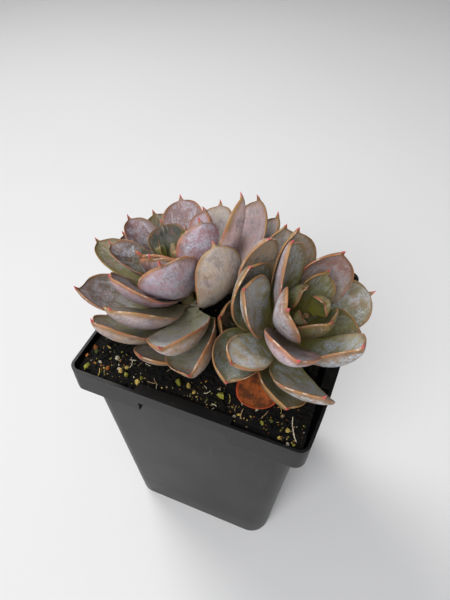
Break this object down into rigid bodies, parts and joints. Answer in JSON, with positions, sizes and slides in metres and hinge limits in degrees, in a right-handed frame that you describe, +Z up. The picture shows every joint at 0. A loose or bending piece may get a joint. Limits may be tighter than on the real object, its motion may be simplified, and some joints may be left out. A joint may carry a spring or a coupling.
{
  "type": "potted succulent",
  "caption": "Rosette succulent with two heads of thick pointed leaves, growing in peat in a deep square tapered black plastic nursery pot.",
  "frame": {"origin": "centre of the flat underside of the pot's base", "axes": "+Z up, from the base through the soil; X and Y along the sides of the square pot, with the left head on the -X side and the right head on the +X side"},
  "size_m": [0.0909, 0.07, 0.1346],
  "materials": {
    "pot_plastic": "moulded satin",
    "peat": "loose and fibrous",
    "stem_green": "matt skin",
    "dry_leaf": "dry and slightly glossy",
    "mauve_leaf": "waxy with pale bloom",
    "olive_leaf": "waxy with pale bloom"
  },
  "bodies": {
    "root": {"pot": "pot_plastic", "soil": "peat", "stem_a": "stem_green", "stem_b": "stem_green", "dead_leaf": "dry_leaf", "leaf_a_01": "mauve_leaf", "leaf_a_02": "mauve_leaf", "leaf_a_03": "mauve_leaf", "leaf_a_04": "mauve_leaf", "leaf_a_05": "mauve_leaf", "leaf_a_06": "mauve_leaf", "leaf_a_07": "mauve_leaf", "leaf_a_08": "mauve_leaf", "leaf_a_09": "mauve_leaf", "leaf_a_10": "mauve_leaf", "leaf_a_11": "mauve_leaf", "leaf_a_12": "mauve_leaf", "leaf_a_13": "mauve_leaf", "leaf_a_14": "mauve_leaf", "leaf_a_15": "mauve_leaf", "leaf_a_16": "mauve_leaf", "leaf_a_17": "mauve_leaf", "leaf_a_18": "mauve_leaf", "leaf_a_19": "mauve_leaf", "leaf_a_20": "mauve_leaf", "leaf_a_21": "mauve_leaf", "leaf_a_22": "mauve_leaf", "leaf_a_23": "mauve_leaf", "leaf_a_24": "mauve_leaf", "leaf_a_25": "mauve_leaf", "leaf_a_26": "mauve_leaf", "leaf_a_27": "mauve_leaf", "leaf_a_28": "mauve_leaf", "leaf_b_01": "olive_leaf", "leaf_b_02": "olive_leaf", "leaf_b_03": "olive_leaf", "leaf_b_04": "olive_leaf", "leaf_b_05": "olive_leaf", "leaf_b_06": "olive_leaf", "leaf_b_07": "olive_leaf", "leaf_b_08": "olive_leaf", "leaf_b_09": "olive_leaf", "leaf_b_10": "olive_leaf", "leaf_b_11": "olive_leaf", "leaf_b_12": "olive_leaf", "leaf_b_13": "olive_leaf", "leaf_b_14": "olive_leaf", "leaf_b_15": "olive_leaf", "leaf_b_16": "olive_leaf", "leaf_b_17": "olive_leaf", "leaf_b_18": "olive_leaf", "leaf_b_19": "olive_leaf", "leaf_b_20": "olive_leaf", "leaf_b_21": "olive_leaf", "leaf_b_22": "olive_leaf", "leaf_b_23": "olive_leaf", "leaf_b_24": "olive_leaf", "leaf_b_25": "olive_leaf"}
  },
  "joints": []
}
